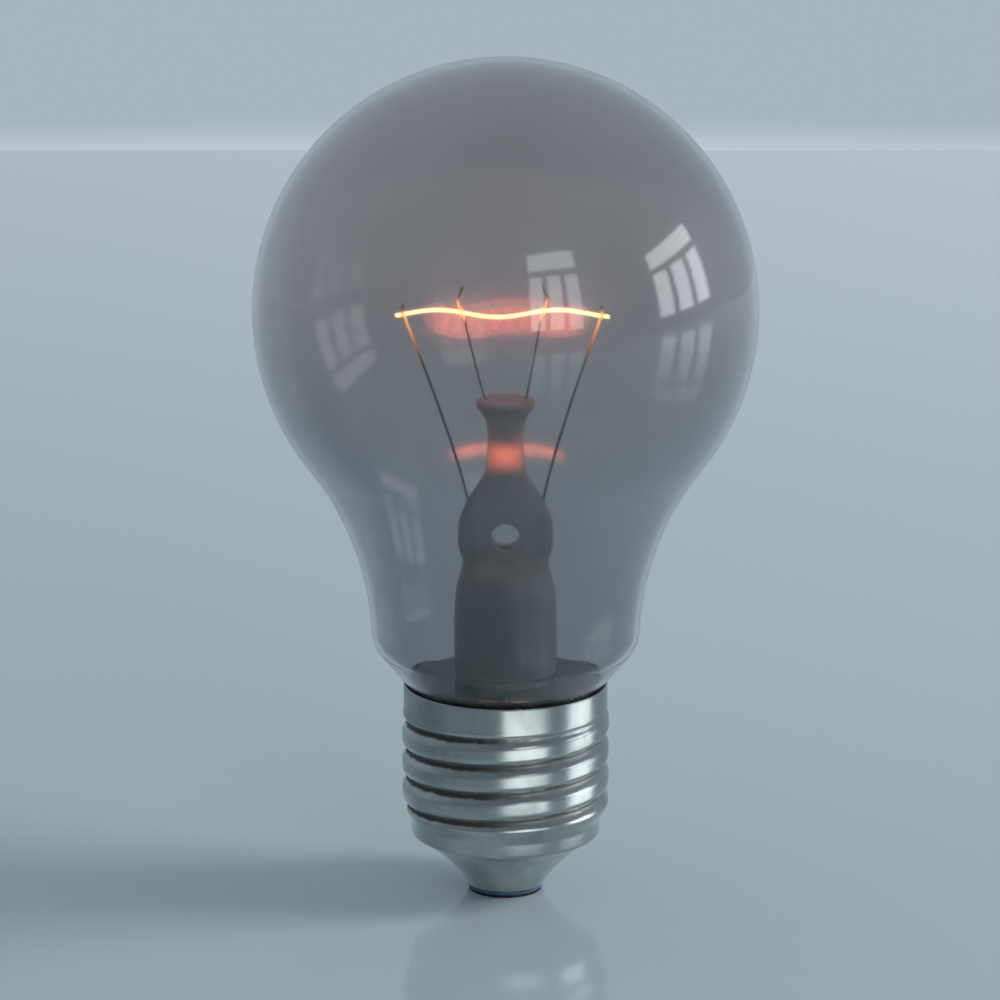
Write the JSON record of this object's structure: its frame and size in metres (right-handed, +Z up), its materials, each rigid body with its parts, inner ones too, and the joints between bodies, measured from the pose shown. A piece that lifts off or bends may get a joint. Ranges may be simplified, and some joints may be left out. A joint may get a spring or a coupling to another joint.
{
  "type": "dead light bulb",
  "caption": "Smoke-darkened clear glass lamp with a stem, wires and a single wavy filament, on a worn metal screw cap, standing on its tip.",
  "frame": {"origin": "on the lamp's axis, at the centre of the contact plate's lower face, which it stands on", "axes": "+Z up along the lamp's axis, from the contact to the top of the globe; X along the filament"},
  "size_m": [0.0632, 0.0632, 0.107],
  "materials": {
    "smoked_glass": "clear blown soda glass, evenly darkened by smoke",
    "stem_glass": "dark smoked lead glass, glossy",
    "dark_disc": "dark glossy disc with a rounded edge",
    "lead_nickel": "oxidised nickel wire, hot at its upper end",
    "support_metal": "dark molybdenum wire",
    "copper": "copper wire",
    "glowing_tungsten": "coiled tungsten wire, glowing warm yellow",
    "worn_nickel": "nickel-plated stamped shell, smudged and scratched, brown tarnish in the thread",
    "cement": "baked basing cement, matt",
    "black_glass": "opaque black glass",
    "contact_brass": "tarnished brass plate",
    "solder": "dull tin solder"
  },
  "bodies": {
    "root": {"glass_envelope": "smoked_glass", "stem": "stem_glass", "exhaust_tube": "stem_glass", "deflector_disc": "dark_disc", "lead_wire_left": "lead_nickel", "lead_wire_right": "lead_nickel", "seal_wire_left": "copper", "seal_wire_right": "copper", "outer_lead_left": "copper", "outer_lead_right": "copper", "support_wire_left": "support_metal", "support_wire_right": "support_metal", "filament": "glowing_tungsten", "screw_shell": "worn_nickel", "basing_cement": "cement", "cap_insulator": "black_glass", "centre_contact": "contact_brass", "contact_solder": "solder", "shell_solder": "solder"}
  },
  "joints": []
}
